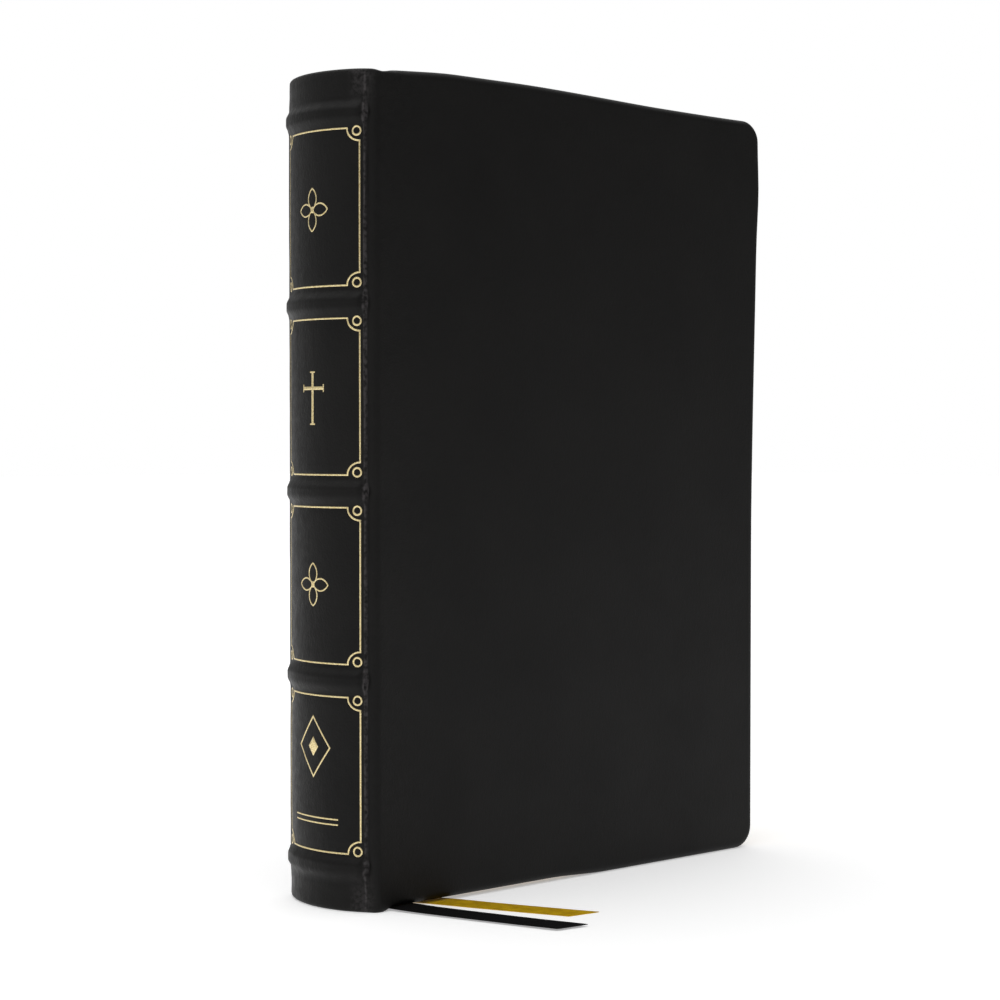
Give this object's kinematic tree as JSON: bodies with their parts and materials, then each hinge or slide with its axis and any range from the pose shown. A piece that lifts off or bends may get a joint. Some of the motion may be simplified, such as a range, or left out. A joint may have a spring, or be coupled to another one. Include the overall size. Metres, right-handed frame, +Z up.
{
  "type": "bible",
  "caption": "Hardback bible in black leather with a rounded raised-band spine, sewn pages that open in the middle, opening covers and two ribbon markers.",
  "frame": {"origin": "middle of the spine's foot, on the plane the closed book stands on", "axes": "+Z up the book from tail to head; +X from the spine to the fore-edge; the front cover faces -Y and the back cover +Y"},
  "size_m": [0.1698, 0.0925, 0.238],
  "materials": {
    "black_leather": "satin",
    "grey_board": "matte",
    "white_card": "matte",
    "book_paper": "matte",
    "endpaper": "matte",
    "lining_cloth": "matte",
    "band_core": "matte",
    "banded_silk": "satin",
    "black_ribbon": "satin",
    "gold_ribbon": "satin"
  },
  "bodies": {
    "spine": {"spine_leather": "black_leather", "spine_stiffener": "white_card", "spine_lining": "lining_cloth", "sewn_back": "book_paper", "headband": "banded_silk", "tailband": "banded_silk", "raised_band_1": "band_core", "raised_band_2": "band_core", "raised_band_3": "band_core", "raised_band_4": "band_core", "raised_band_5": "band_core", "ribbon_marker_black": "black_ribbon", "ribbon_marker_gold": "gold_ribbon"},
    "front_pages": {"section_01": "book_paper", "section_02": "book_paper", "section_03": "book_paper", "section_04": "book_paper", "section_05": "book_paper", "section_06": "book_paper", "section_07": "book_paper", "section_08": "book_paper", "front_joint_leather": "black_leather"},
    "front_flyleaf": {"front_flyleaf": "endpaper"},
    "front_cover": {"front_cover_leather": "black_leather", "front_board": "grey_board", "front_pastedown": "endpaper"},
    "back_pages": {"section_09": "book_paper", "section_10": "book_paper", "section_11": "book_paper", "section_12": "book_paper", "section_13": "book_paper", "section_14": "book_paper", "section_15": "book_paper", "section_16": "book_paper", "back_joint_leather": "black_leather"},
    "back_flyleaf": {"back_flyleaf": "endpaper"},
    "back_cover": {"back_cover_leather": "black_leather", "back_board": "grey_board", "back_pastedown": "endpaper"}
  },
  "joints": [
    {"name": "front_pages_open", "type": "hinge", "parent": "spine", "child": "front_pages", "pos_m": [0.01, -0.02, 0.119], "axis": [0, 0, -1], "range_deg": [0, 90], "deforming": ["front_joint_leather"]},
    {"name": "front_flyleaf_turn", "type": "hinge", "parent": "front_pages", "child": "front_flyleaf", "pos_m": [0.0126, -0.02, 0.119], "axis": [0, 0, -1], "range_deg": [0, 90], "deforming": ["front_joint_leather"]},
    {"name": "front_cover_open", "type": "hinge", "parent": "front_flyleaf", "child": "front_cover", "pos_m": [0.0152, -0.02, 0.119], "axis": [0, 0, 1], "range_deg": [-175, 0], "deforming": ["front_joint_leather"]},
    {"name": "back_pages_open", "type": "hinge", "parent": "spine", "child": "back_pages", "pos_m": [0.01, 0.02, 0.119], "axis": [0, 0, 1], "range_deg": [0, 90], "deforming": ["back_joint_leather"]},
    {"name": "back_flyleaf_turn", "type": "hinge", "parent": "back_pages", "child": "back_flyleaf", "pos_m": [0.0126, 0.02, 0.119], "axis": [0, 0, 1], "range_deg": [0, 90], "deforming": ["back_joint_leather"]},
    {"name": "back_cover_open", "type": "hinge", "parent": "back_flyleaf", "child": "back_cover", "pos_m": [0.0152, 0.02, 0.119], "axis": [0, 0, -1], "range_deg": [-175, 0], "deforming": ["back_joint_leather"]}
  ]
}
